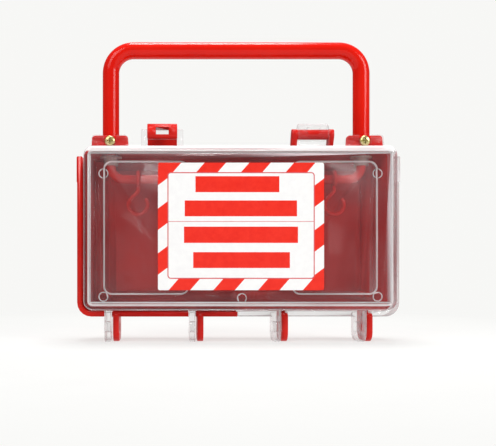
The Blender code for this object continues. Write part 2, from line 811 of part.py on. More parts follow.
def make_insert(side):
    """Nylon bush between the rail's end and the inside of the handle's foot."""
    label = "left" if side < 0 else "right"
    x = side * HANDLE_X
    outer = TUBE_RADIUS - TUBE_WALL - GAP
    inner = RAIL_RADIUS + GAP
    low = HANDLE_END_Z + 0.5
    high = low + INSERT_LENGTH
    profile = [(outer, high), (outer, low), (inner, low), (inner, high)]
    insert = smooth(turned(f"tube_insert_{label}", profile, "nylon"))
    insert.location = metres((x, HANDLE_Y, 0.0))
    bpy.context.view_layer.update()
    drill = cylinder(f"insert_drill_{label}", (x, HANDLE_Y, SCREW_Z), SCREW_RADIUS + GAP, 14.0, "Y", 16)
    combine(insert, drill, "DIFFERENCE")


def make_collar(side):
    """Flanged nylon collar on the rail's upright end, under the top walls."""
    label = "left" if side < 0 else "right"
    inner = RAIL_RADIUS + GAP
    high = COLLAR_TOP
    step = high - COLLAR_FLANGE_THICKNESS
    low = high - COLLAR_LENGTH
    profile = [
        (COLLAR_FLANGE_RADIUS, high),
        (COLLAR_FLANGE_RADIUS, step),
        (COLLAR_RADIUS, step),
        (COLLAR_RADIUS, low),
        (inner, low),
        (inner, high),
    ]
    collar = smooth(turned(f"rail_collar_{label}", profile, "nylon"))
    collar.location = metres((side * HANDLE_X, HANDLE_Y, 0.0))


def make_label():
    """Thin vinyl label on the outside of the cover."""
    half = LABEL_WIDTH / 2
    outline = rounded([
        (-half, LABEL_BOTTOM, LABEL_RADIUS),
        (half, LABEL_BOTTOM, LABEL_RADIUS),
        (half, LABEL_TOP, LABEL_RADIUS),
        (-half, LABEL_TOP, LABEL_RADIUS),
    ])
    rear = -SHELL_DEPTH - GAP
    return prism(
        "label_sheet", outline, "Y", rear - LABEL_THICKNESS, rear, finish_name="label_vinyl"
    )


def hang_on_hinge(pieces):
    """Parent the moving pieces to an empty on the cover's hinge axis."""
    axis = bpy.data.objects.new("cover_hinge_axis", None)
    parts.objects.link(axis)
    axis.location = metres((0.0, 0.0, HINGE_Z))
    bpy.context.view_layer.update()
    for piece in pieces:
        piece.parent = axis
        piece.matrix_parent_inverse = axis.matrix_world.inverted()


clear_scene()
parts = new_collection("group_lockout_box")
cutters = new_collection("cutters")

cover = make_shell("cover_shell", "clear_plastic", False)
base = make_shell("base_shell", "red_plastic", True)
base.rotation_euler.z = math.pi
make_handle()
make_rail()
make_key_hooks()
for foot_side in (-1, 1):
    make_foot(foot_side)
    make_insert(foot_side)
    make_collar(foot_side)
hang_on_hinge([cover, make_label()])
bpy.context.view_layer.update()
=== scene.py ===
"""Looks of the portable group lockout box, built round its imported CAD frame."""

import json
import math

import bmesh
import bpy
from mathutils import Matrix, Vector


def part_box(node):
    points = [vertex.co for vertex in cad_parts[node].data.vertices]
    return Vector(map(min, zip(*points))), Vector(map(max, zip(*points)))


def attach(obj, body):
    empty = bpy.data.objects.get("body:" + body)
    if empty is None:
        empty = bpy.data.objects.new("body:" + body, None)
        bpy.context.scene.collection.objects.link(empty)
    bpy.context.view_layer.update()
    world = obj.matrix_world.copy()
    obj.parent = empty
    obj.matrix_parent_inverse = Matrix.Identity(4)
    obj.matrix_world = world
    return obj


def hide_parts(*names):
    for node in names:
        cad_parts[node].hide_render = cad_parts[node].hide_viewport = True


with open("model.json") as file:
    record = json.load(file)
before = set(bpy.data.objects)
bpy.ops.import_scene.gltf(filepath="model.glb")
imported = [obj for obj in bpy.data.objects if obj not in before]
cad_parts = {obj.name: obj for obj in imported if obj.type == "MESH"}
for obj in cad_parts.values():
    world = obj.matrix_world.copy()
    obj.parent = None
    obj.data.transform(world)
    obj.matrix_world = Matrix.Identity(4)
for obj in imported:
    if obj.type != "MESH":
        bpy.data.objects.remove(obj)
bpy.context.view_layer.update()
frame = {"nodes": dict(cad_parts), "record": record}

MM = 0.001
BACKGROUND = (0.932, 0.932, 0.916, 1)

CAMERA_LENS = 56.6
CAMERA_SHIFT = (0.167, 0.0905)
CAMERA_PLACE = (-0.0544, -0.588, 0.0548)

# Sizes of the pieces that are drawn again more finely, in millimetres.
TUBE_RADIUS = 6.35
TUBE_WALL = 1.2
TUBE_BEND = 17.4
RAIL_RADIUS = 3.5
RAIL_BEND = 10.0
CROSS_HOLE_RADIUS = 2.3
HOOK_WIRE_RADIUS = 1.6
HOOK_EYE_RADIUS = 5.5
HOOK_RING_RADIUS = 7.4
HOOK_RING_DROP = 19.5
HEAD_RADIUS = 4.0
HEAD_HEIGHT = 2.4
HEAD_DOME = 1.5
HEAD_UNDERCUT_RADIUS = 3.85
THREAD_CREST = 1.98
THREAD_ROOT = 1.66
THREAD_PITCH = 0.7
THREAD_FLAT = 0.08

# Where the cover's face, its frame, ribs and ring marks are, in millimetres.
FACE_INSIDE_Y = -25.2
FACE_HALF_WIDTH = 111.0
FACE_LOW, FACE_HIGH = 27.5, 140.5
RIB_ROOM = (0.05, 1.2)  # heights above the face's inside
FRAME_HALF_WIDTH = 107.6  # the frame is outside this and these two heights
FRAME_LOW, FRAME_HIGH = 30.8, 136.9
MARKS = ((-99.0, 123.0), (99.0, 123.0), (-99.0, 34.0), (99.0, 34.0), (1.0, 33.0))
MARK_RADIUS = 3.7
MARK_HEIGHT = 0.6
MARK_LINE = 0.55
MARK_INSIDE = 2.6

# The label's print, in millimetres.
LABEL_PANEL = (-52.8, 52.9, 46.9, 123.5)  # left, right, bottom, top
LABEL_LINE = 0.8
LABEL_CORNER = 2.6
LABEL_DIVIDER = 88.1
LABEL_BARS = (
    (-32.7, 27.5, 109.1, 120.6),
    (-40.4, 40.2, 91.8, 103.2),
    (-40.9, 40.9, 72.7, 84.4),
    (-34.3, 35.1, 54.7, 66.1),
)
STRIPE_PITCH, STRIPE_WIDTH = 32.1, 15.4
ROW_LEAN, COLUMN_LEAN = 0.87, 0.75  # how far a stripe runs on per millimetre across the border
ROW_START = {1: -61.2, -1: -48.4}
COLUMN_START = {1: 36.9, -1: 52.4}

# Where the clear plastic changes, in metres.
HINGE_FOOT_Z = (0.1455, 0.1465)  # above this the hinge parts are thin
# The painted highlight on the front face's top edge lies above this height and in front of this
# depth.
TOP_HIGHLIGHT_Z = (0.1386, 0.1392)
TOP_HIGHLIGHT_Y = (-0.0235, -0.0215)

BODY_OF = {
    node: body
    for body, nodes in frame["record"]["behaviour"]["bodies"].items()
    for node in nodes
}


def make_camera():
    """Camera in front of the box, level, low and a little left of the middle."""
    data = bpy.data.cameras.new("camera")
    data.sensor_width = 36.0
    data.lens = CAMERA_LENS
    data.shift_x, data.shift_y = CAMERA_SHIFT
    camera = bpy.data.objects.new("camera", data)
    camera.location = CAMERA_PLACE
    camera.rotation_euler = (math.radians(90.0), 0.0, 0.0)
    bpy.context.scene.collection.objects.link(camera)
    bpy.context.scene.camera = camera


class Graph:
    """Short calls for building one node material."""

    def __init__(self, name):
        self.material = bpy.data.materials.new(name)
        self.material.use_nodes = True
        self.tree = self.material.node_tree
        self.shader = self.tree.nodes["Principled BSDF"]
        self.place = self.node("TexCoord").outputs["Object"]

    def node(self, kind, inputs=(), **settings):
        made = self.tree.nodes.new("ShaderNode" + kind)
        for key, value in settings.items():
            setattr(made, key, value)
        for key, value in dict(inputs).items():
            self.feed(made.inputs[key], value)
        return made

    def feed(self, socket, value):
        if isinstance(value, bpy.types.NodeSocket):
            self.tree.links.new(value, socket)
        else:
            socket.default_value = value

    def set(self, **values):
        for key, value in values.items():
            self.feed(self.shader.inputs[key.replace("_", " ")], value)

    def stretched(self, scale):
        return self.node("Mapping", {"Vector": self.place, "Scale": scale}).outputs[0]

    def noise(self, scale, detail=3.0, place=None, distortion=0.0):
        made = self.node(
            "TexNoise",
            {
                "Vector": place or self.place,
                "Scale": scale,
                "Detail": detail,
                "Distortion": distortion,
            },
        )
        return made.outputs["Fac"]

    def fit(self, value, low, high, to_low=0.0, to_high=1.0):
        made = self.node(
            "MapRange",
            {
                "Value": value,
                "From Min": low,
                "From Max": high,
                "To Min": to_low,
                "To Max": to_high,
            },
        )
        return made.outputs["Result"]

    def math(self, operation, first, second=0.0):
        made = self.node("Math", operation=operation)
        self.feed(made.inputs[0], first)
        self.feed(made.inputs[1], second)
        return made.outputs[0]

    def mix(self, factor, first, second):
        made = self.node("Mix", data_type="RGBA")
        self.feed(made.inputs[0], factor)
        self.feed(made.inputs[6], first)
        self.feed(made.inputs[7], second)
        return made.outputs[2]

    def bump(self, height, distance, strength=1.0, normal=None):
        made = self.node(
            "Bump", {"Height": height, "Distance": distance * MM, "Strength": strength}
        )
        if normal:
            self.feed(made.inputs["Normal"], normal)
        return made.outputs["Normal"]

    def soft_edge(self, radius):
        return self.node("Bevel", {"Radius": radius * MM}, samples=4).outputs["Normal"]

    def edge_mask(self, radius, low=0.02, high=0.25):
        """1 along the piece's edges and 0 on its flats."""
        face = self.node("NewGeometry").outputs["Normal"]
        dot = self.node("VectorMath", operation="DOT_PRODUCT")
        self.feed(dot.inputs[0], self.soft_edge(radius))
        self.feed(dot.inputs[1], face)
        return self.fit(self.math("SUBTRACT", 1.0, dot.outputs["Value"]), low, high)


def red_plastic():
    """Moulded red plastic: satin, slightly uneven, paler on rubbed edges."""
    g = Graph("red_plastic_moulded")
    cloud = g.fit(g.noise(22.0, 4.0), 0.35, 0.65)
    base = g.mix(cloud, (0.58, 0.008, 0.005, 1), (0.68, 0.014, 0.008, 1))
    worn = g.math("MULTIPLY", g.edge_mask(0.5), g.fit(g.noise(160.0), 0.45, 0.75))
    colour = g.mix(g.math("MULTIPLY", worn, 0.6), base, (0.80, 0.14, 0.10, 1))
    grain = g.noise(1400.0, 2.0)
    scratch = g.noise(420.0, 2.0, g.stretched((0.25, 1.0, 2.4)), 0.4)
    handled = g.fit(g.noise(60.0, 4.0), 0.3, 0.7, 0.27, 0.38)
    rough = g.math("ADD", handled, g.fit(scratch, 0.62, 0.72, 0.0, 0.1))
    g.set(Base_Color=colour, Roughness=rough, Specular_IOR_Level=0.22)
    g.set(Normal=g.bump(grain, 0.03, 0.35, g.soft_edge(0.35)))
    return g.material


def red_paint():
    """Gloss red powder coat: orange peel, and thin darker film at the edges."""
    g = Graph("red_paint_gloss")
    cloud = g.fit(g.noise(14.0, 3.0), 0.35, 0.65)
    base = g.mix(cloud, (0.66, 0.006, 0.0012, 1), (0.74, 0.010, 0.0025, 1))
    chip = g.math("MULTIPLY", g.edge_mask(0.4), g.fit(g.noise(240.0, 4.0), 0.6, 0.7))
    colour = g.mix(g.math("MULTIPLY", chip, 0.5), base, (0.30, 0.03, 0.02, 1))
    peel = g.noise(520.0, 2.0)
    speck = g.noise(2600.0, 1.0)
    rough = g.fit(g.noise(75.0, 3.0), 0.3, 0.7, 0.13, 0.22)
    g.set(Base_Color=colour, Roughness=rough, Specular_IOR_Level=0.22)
    g.set(Coat_Weight=0.05, Coat_Roughness=0.05)
    waves = g.math("ADD", peel, g.math("MULTIPLY", speck, 0.15))
    g.set(Normal=g.bump(waves, 0.05, 0.35, g.soft_edge(0.3)))
    return g.material


def clear_plastic(name, facing, grazing, through, edge_on):
    """Clear moulded plastic: faintly smoky square on, pale and dense edge on.

    Along the front face's top edge is a painted highlight, for light that thick plastic gathers.
    """
    g = Graph(name)
    rim = g.node("LayerWeight", {"Blend": 0.5}).outputs["Facing"]
    curve = g.math("POWER", rim, 2.2)
    smear = g.fit(g.noise(9.0, 4.0, None, 0.8), 0.35, 0.7, 0.85, 1.2)
    alpha = g.math("MULTIPLY", g.fit(curve, 0.0, 1.0, facing, grazing), smear)
    lines = g.noise(300.0, 3.0, g.stretched((1.0, 1.0, 0.12)), 0.3)
    alpha = g.math("ADD", alpha, g.fit(lines, 0.66, 0.7, 0.0, 0.05))
    # Painted sheen: the tint turns pale towards grazing angles, standing in for the reflection
    # clear plastic shows edge on.
    tint = g.mix(g.fit(rim, 0.25, 0.8), through, edge_on)
    cloud = g.fit(g.noise(30.0, 3.0), 0.3, 0.7, 0.0, 0.35)
    tint = g.mix(cloud, tint, (0.62, 0.55, 0.57, 1))
    place = g.node("SeparateXYZ", {"Vector": g.place})
    thin = g.fit(place.outputs["Z"], *HINGE_FOOT_Z, 1.0, 0.45)
    # Painted highlight: a bright, dense white strip along the top edge of the front face.
    front = g.fit(place.outputs["Y"], *TOP_HIGHLIGHT_Y, 1.0, 0.0)
    normal = g.node("TexCoord").outputs["Normal"]
    flat = g.math("ABSOLUTE", g.node("SeparateXYZ", {"Vector": normal}).outputs["Y"])
    front = g.math("MULTIPLY", front, g.fit(flat, 0.1, 0.6))
    edge = g.math("MULTIPLY", g.fit(place.outputs["Z"], *TOP_HIGHLIGHT_Z), front)
    glare = g.math("MULTIPLY", edge, g.fit(smear, 0.85, 1.2, 0.7, 1.0))
    alpha = g.math("ADD", g.math("MULTIPLY", alpha, thin), g.math("MULTIPLY", glare, 0.7))
    alpha = g.math("MINIMUM", alpha, 0.96)
    tint = g.mix(glare, tint, (0.97, 0.95, 0.95, 1))
    rough = g.fit(g.noise(45.0, 4.0), 0.3, 0.7, 0.05, 0.16)
    g.set(Base_Color=tint, Alpha=alpha, Roughness=rough, Specular_IOR_Level=0.9)
    ripple = g.noise(60.0, 2.0)
    g.set(Normal=g.bump(ripple, 0.15, 0.4, g.soft_edge(0.4)))
    return g.material


def yellow_zinc():
    """Yellow passivated zinc: a thin film whose tint drifts from straw to green."""
    g = Graph("yellow_zinc_plating")
    drift = g.fit(g.noise(420.0, 3.0), 0.35, 0.65)
    film = g.mix(drift, (0.62, 0.56, 0.20, 1), (0.74, 0.62, 0.36, 1))
    grime = g.fit(g.noise(900.0, 4.0), 0.55, 0.75)
    colour = g.mix(g.math("MULTIPLY", grime, 0.45), film, (0.30, 0.27, 0.12, 1))
    rough = g.fit(g.noise(700.0, 3.0), 0.3, 0.7, 0.22, 0.42)
    g.set(Base_Color=colour, Metallic=1.0, Roughness=rough)
    g.set(Normal=g.bump(g.noise(2200.0, 2.0), 0.02, 0.5, g.soft_edge(0.15)))
    return g.material


def bright_zinc():
    """Bright zinc plate with rolling marks."""
    g = Graph("bright_zinc_plating")
    rolled = g.noise(600.0, 3.0, g.stretched((0.15, 1.0, 2.5)))
    colour = g.mix(g.fit(rolled, 0.35, 0.65), (0.60, 0.61, 0.63, 1), (0.74, 0.75, 0.76, 1))
    rough = g.fit(g.noise(300.0, 4.0), 0.3, 0.7, 0.22, 0.4)
    g.set(Base_Color=colour, Metallic=1.0, Roughness=rough)
    g.set(Normal=g.bump(rolled, 0.02, 0.5, g.soft_edge(0.2)))
    return g.material


def nylon(name, density):
    """Natural nylon: waxy off-white with a little light under the surface."""
    g = Graph(name)
    cloud = g.fit(g.noise(180.0, 3.0), 0.35, 0.65)
    colour = g.mix(cloud, (0.72, 0.66, 0.60, 1), (0.80, 0.75, 0.70, 1))
    rough = g.fit(g.noise(400.0, 3.0), 0.3, 0.7, 0.4, 0.55)
    g.set(Base_Color=colour, Roughness=rough, Subsurface_Weight=0.15, Subsurface_Scale=0.002)
    if density < 1.0:
        g.set(Alpha=g.fit(cloud, 0.0, 1.0, density - 0.05, density + 0.05))
    g.set(Normal=g.bump(g.noise(1500.0, 2.0), 0.02, 0.4, g.soft_edge(0.2)))
    return g.material


def label_ink(name, low, high):
    """Printed vinyl: even ink with faint mottle, and slight waves of the film."""
    g = Graph(name)
    mottle = g.fit(g.noise(260.0, 4.0), 0.3, 0.7)
    grain = g.fit(g.noise(2400.0, 1.0), 0.3, 0.7, 0.0, 0.3)
    colour = g.mix(g.math("ADD", g.math("MULTIPLY", mottle, 0.7), grain), low, high)
    rough = g.fit(g.noise(90.0, 4.0), 0.3, 0.7, 0.28, 0.4)
    g.set(Base_Color=colour, Roughness=rough, Specular_IOR_Level=0.3)
    waves = g.math("ADD", g.noise(35.0, 2.0), g.math("MULTIPLY", g.noise(1800.0, 1.0), 0.03))
    g.set(Normal=g.bump(waves, 0.12, 0.4))
    return g.material


def floor_paper():
    """Pale sweep under the box, fading into the background away from it."""
    g = Graph("floor_paper")
    cloud = g.fit(g.noise(30.0, 4.0), 0.3, 0.7)
    colour = g.mix(cloud, (0.79, 0.79, 0.785, 1), (0.82, 0.82, 0.815, 1))
    g.set(Base_Color=colour, Roughness=0.7, Specular_IOR_Level=0.2)
    g.set(Normal=g.bump(g.noise(900.0, 3.0), 0.05, 0.3))
    glow = g.node("Emission", {"Color": BACKGROUND, "Strength": 1.0})
    distance = g.node("VectorMath", {0: g.place}, operation="LENGTH").outputs["Value"]
    far = g.fit(distance, 0.16, 0.42, 0.68, 1.0)
    mix = g.node("MixShader", {0: far, 1: g.shader.outputs[0], 2: glow.outputs[0]})
    g.feed(g.tree.nodes["Material Output"].inputs["Surface"], mix.outputs[0])
    return g.material


MATERIALS = {
    "red_plastic": red_plastic(),
    "red_paint": red_paint(),
    "clear_plastic": clear_plastic(
        "clear_plastic_moulded", 0.10, 0.85, (0.17, 0.12, 0.13, 1), (0.92, 0.83, 0.86, 1)
    ),
    # Painted highlight: ribs and ring marks in dense pale plastic, for light caught in the clear
    # ribs.
    "rib_highlight": clear_plastic(
        "clear_plastic_painted_ribs", 0.75, 0.9, (1.0, 0.92, 0.93, 1), (1.0, 0.96, 0.97, 1)
    ),
    # Painted highlight: the frame in near-opaque white, for a bright line of light refracted in
    # the face.
    "frame_highlight": clear_plastic(
        "clear_plastic_painted_frame", 0.9, 0.95, (0.98, 0.96, 0.96, 1), (1.0, 0.98, 0.98, 1)
    ),
    "zinc_yellow": yellow_zinc(),
    "bright_zinc": bright_zinc(),
    "nylon": nylon("natural_nylon", 1.0),
    "nylon_thin": nylon("natural_nylon_thin", 0.38),
    "label_white": label_ink("label_white", (0.88, 0.87, 0.87, 1), (0.93, 0.93, 0.92, 1)),
    "label_red": label_ink("label_red", (0.80, 0.020, 0.010, 1), (0.88, 0.032, 0.016, 1)),
    "label_line": label_ink("label_line", (0.62, 0.10, 0.11, 1), (0.70, 0.14, 0.15, 1)),
}


def piece_from(name, mesh, slot, nodes, materials=None, sharp=30.0):
    """New visible piece that stands for the given CAD nodes.

    Its faces keep their material indices where materials are given, and else all get the slot's.
    """
    indices = [polygon.material_index for polygon in mesh.polygons]
    mesh.materials.clear()
    for key in materials or (slot,):
        mesh.materials.append(MATERIALS[key])
    mesh.polygons.foreach_set("material_index", indices if materials else [0] * len(indices))
    mesh.shade_smooth()
    mesh.set_sharp_from_angle(angle=math.radians(sharp))
    piece = bpy.data.objects.new(name, mesh)
    bpy.context.scene.collection.objects.link(piece)
    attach(piece, BODY_OF[nodes[0]])
    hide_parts(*nodes)


def welded(node):
    """Copy of a CAD node's mesh with its split vertices joined again."""
    form = bmesh.new()
    form.from_mesh(frame["nodes"][node].data)
    bmesh.ops.remove_doubles(form, verts=form.verts, dist=2e-6)
    bmesh.ops.dissolve_degenerate(form, edges=form.edges, dist=1e-6)
    return form


def to_mesh(form, name):
    """Mesh of a form, which is freed."""
    mesh = bpy.data.meshes.new(name)
    form.to_mesh(mesh)
    form.free()
    return mesh


def settled(thing):
    """Mesh of an object with its modifiers applied; the object itself is removed."""
    graph = bpy.context.evaluated_depsgraph_get()
    mesh = bpy.data.meshes.new_from_object(thing.evaluated_get(graph))
    bpy.data.objects.remove(thing)
    return mesh


def arc(centre, radius, first, last, step=5.0):
    """Points of an arc in a plane, its angles in degrees."""
    count = max(2, round(abs(last - first) / step))
    angles = [math.radians(first + (last - first) * i / count) for i in range(count + 1)]
    return [
        (centre[0] + radius * math.cos(a), centre[1] + radius * math.sin(a)) for a in angles
    ]


def rod(points, radius, round_steps=7, wall=None):
    """Mesh of a round rod or tube along points in millimetres."""
    curve = bpy.data.curves.new("route", "CURVE")
    curve.dimensions = "3D"
    curve.bevel_depth = radius * MM
    curve.bevel_resolution = round_steps
    curve.use_fill_caps = wall is None
    line = curve.splines.new("POLY")
    line.points.add(len(points) - 1)
    for point, place in zip(line.points, points):
        point.co = (*(c * MM for c in place), 1.0)
    thing = bpy.data.objects.new("route", curve)
    bpy.context.scene.collection.objects.link(thing)
    mesh = settled(thing)
    form = bmesh.new()
    form.from_mesh(mesh)
    bmesh.ops.remove_doubles(form, verts=form.verts, dist=1e-6)
    form.to_mesh(mesh)
    form.free()
    if wall:
        shell = bpy.data.objects.new("shell", mesh)
        bpy.context.scene.collection.objects.link(shell)
        thickness = shell.modifiers.new("Wall", "SOLIDIFY")
        thickness.thickness = wall * MM
        thickness.offset = -1.0
        mesh = settled(shell)
    return mesh


def u_route(half, y, bar, bend, end, upward):
    """Route of a U-shaped rod: up from the left foot, across, and down to the right one."""
    inner = half - bend
    if upward:
        turn = bar - bend
        left = arc((-inner, turn), bend, 180.0, 90.0)
        right = arc((inner, turn), bend, 90.0, 0.0)
    else:
        turn = bar + bend
        left = arc((-inner, turn), bend, 180.0, 270.0)
        right = arc((inner, turn), bend, 270.0, 360.0)
    flat = [(-half, end), *left, *right, (half, end)]
    return [(x, y, z) for x, z in flat]


def middle(node):
    """Middle of a CAD node's box, in millimetres."""
    low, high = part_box(node)
    return (Vector(low) + Vector(high)) / 2 / MM


def carved(mesh, tools):
    """Mesh with the given tool forms cut out of it."""
    thing = bpy.data.objects.new("carved", mesh)
    bpy.context.scene.collection.objects.link(thing)
    cutters = []
    for form in tools:
        cutter = bpy.data.objects.new("cutter", to_mesh(form, "cutter"))
        bpy.context.scene.collection.objects.link(cutter)
        cutters.append(cutter)
        cut = thing.modifiers.new("Cut", "BOOLEAN")
        cut.object = cutter
        cut.solver = "EXACT"
    mesh = settled(thing)
    for cutter in cutters:
        bpy.data.objects.remove(cutter)
    return mesh


def cross_drilled(mesh, half, y, z):
    """Mesh of a U-shaped rod with a screw hole along Y through each of its legs."""
    tools = []
    for x in (-half, half):
        form = bmesh.new()
        place = Matrix.Translation((x * MM, y * MM, z * MM))
        bmesh.ops.create_cone(
            form,
            cap_ends=True,
            segments=32,
            radius1=CROSS_HOLE_RADIUS * MM,
            radius2=CROSS_HOLE_RADIUS * MM,
            depth=20.0 * MM,
            matrix=place @ Matrix.Rotation(math.pi / 2, 4, "X"),
        )
        tools.append(form)
    return carved(mesh, tools)


def make_handle():
    """Painted U-shaped tube, open at its feet."""
    low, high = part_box("handle_tube")
    half = high[0] / MM - TUBE_RADIUS
    bar = high[2] / MM - TUBE_RADIUS
    y = middle("handle_tube").y
    route = u_route(half, y, bar, TUBE_BEND, low[2] / MM, True)
    mesh = rod(route, TUBE_RADIUS, 11, wall=TUBE_WALL)
    mesh = cross_drilled(mesh, half, y, middle("handle_nut_left").z)
    piece_from("handle_tube_fine", mesh, "red_paint", ["handle_tube"], sharp=40.0)


def make_rail():
    """Round key rail, its ends turned up into the handle's feet."""
    low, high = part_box("key_rail")
    half = high[0] / MM - RAIL_RADIUS
    bar = low[2] / MM + RAIL_RADIUS
    y = middle("key_rail").y
    mesh = rod(u_route(half, y, bar, RAIL_BEND, high[2] / MM, False), RAIL_RADIUS, 8)
    mesh = cross_drilled(mesh, half, y, middle("handle_nut_left").z)
    piece_from("key_rail_fine", mesh, "red_paint", ["key_rail"], sharp=40.0)


def rounded_route(points, steps):
    """The same route with its corners eased by a Catmull-Rom curve."""
    knots = [Vector(p) for p in points]
    knots = [2 * knots[0] - knots[1], *knots, 2 * knots[-1] - knots[-2]]
    route = []
    for a, b, c, d in zip(knots, knots[1:], knots[2:], knots[3:]):
        for i in range(steps):
            t = i / steps
            route.append(
                0.5 * (2 * b + (c - a) * t + (2 * a - 5 * b + 4 * c - d) * t**2
                       + (3 * b - a - 3 * c + d) * t**3)
            )
    route.append(knots[-2])
    return route


def make_key_hooks():
    """Open ring hooks, each an eye round the rail, a neck and a ring."""
    rail = middle("key_rail")
    rail_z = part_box("key_rail")[0][2] / MM + RAIL_RADIUS
    eye = [(0.0, y, z) for y, z in arc((0.0, 0.0), HOOK_EYE_RADIUS, -130.0, -420.0, 18.0)]
    neck = [(0.0, 0.6, -8.0), (-0.3, 0.0, -9.5), (-2.6, 0.0, -11.9), (-5.2, 0.0, -14.4)]
    bend = arc((0.0, -HOOK_RING_DROP), HOOK_RING_RADIUS, 165.0, 400.0, 14.0)
    ring = [(x, 0.0, z) for x, z in bend]
    route = rounded_route([*eye, *neck, *ring], 3)
    for number in (1, 2, 3, 4):
        node = f"key_hook_{number}"
        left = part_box(node)[0][0] / MM
        x = left + HOOK_RING_RADIUS + HOOK_WIRE_RADIUS
        points = [(x + p.x, rail.y + p.y, rail_z + p.z) for p in route]
        mesh = rod(points, HOOK_WIRE_RADIUS, 4)
        piece_from(f"{node}_fine", mesh, "red_paint", [node], sharp=50.0)


def turned(profile, steps):
    """Closed mesh of a profile of (radius, y) turned about the Y axis."""
    form = bmesh.new()
    rings = []
    for radius, y in profile:
        if radius < 1e-6:
            rings.append([form.verts.new((0.0, y * MM, 0.0))])
            continue
        angles = [2 * math.pi * i / steps for i in range(steps)]
        places = [(radius * math.cos(a) * MM, y * MM, radius * math.sin(a) * MM) for a in angles]
        rings.append([form.verts.new(place) for place in places])
    for first, second in zip(rings, rings[1:]):
        for i in range(steps):
            j = (i + 1) % steps
            corners = [first[i % len(first)], first[j % len(first)],
                       second[j % len(second)], second[i % len(second)]]
            form.faces.new(list(dict.fromkeys(corners)))
    bmesh.ops.recalc_face_normals(form, faces=form.faces)
    return form


def make_screw(label):
    """Pan head screw with a tapered cross recess, and rings that stand for its thread."""
    node = f"handle_screw_{label}"
    low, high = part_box(node)
    centre = middle(node)
    top, end = low[1] / MM, high[1] / MM
    seat = top + HEAD_HEIGHT
    profile = [(0.0, top)]
    for i in range(1, 9):
        angle = math.radians(90.0 * i / 8)
        drop = HEAD_DOME * (1 - math.cos(angle))
        profile.append((HEAD_RADIUS * math.sin(angle) ** 0.75, top + drop))
    profile += [(HEAD_RADIUS, seat - 0.15), (HEAD_UNDERCUT_RADIUS, seat), (THREAD_CREST, seat)]
    y = seat + 1.0
    while y < end - 1.4:
        profile += [
            (THREAD_CREST, y),
            (THREAD_CREST, y + THREAD_FLAT),
            (THREAD_ROOT, y + THREAD_PITCH / 2),
            (THREAD_CREST, y + THREAD_PITCH - THREAD_FLAT),
        ]
        y += THREAD_PITCH
    profile += [(1.9, end - 0.6), (1.3, end), (0.0, end)]
    tools = []
    for turn in (0.0, 90.0):
        form = bmesh.new()
        bmesh.ops.create_cube(form, size=1.0)
        for vert in form.verts:
            deep = vert.co.y > 0
            vert.co.x *= (2.6 if deep else 5.0) * MM
            vert.co.z *= (0.6 if deep else 1.05) * MM
            vert.co.y = (top + (1.5 if deep else -0.2)) * MM
        spin = Matrix.Rotation(math.radians(turn), 3, "Y")
        bmesh.ops.rotate(form, verts=form.verts, matrix=spin)
        tools.append(form)
    mesh = carved(to_mesh(turned(profile, 40), node), tools)
    mesh.transform(Matrix.Translation((centre.x * MM, 0.0, centre.z * MM)))
    piece_from(f"{node}_fine", mesh, "zinc_yellow", [node], sharp=35.0)


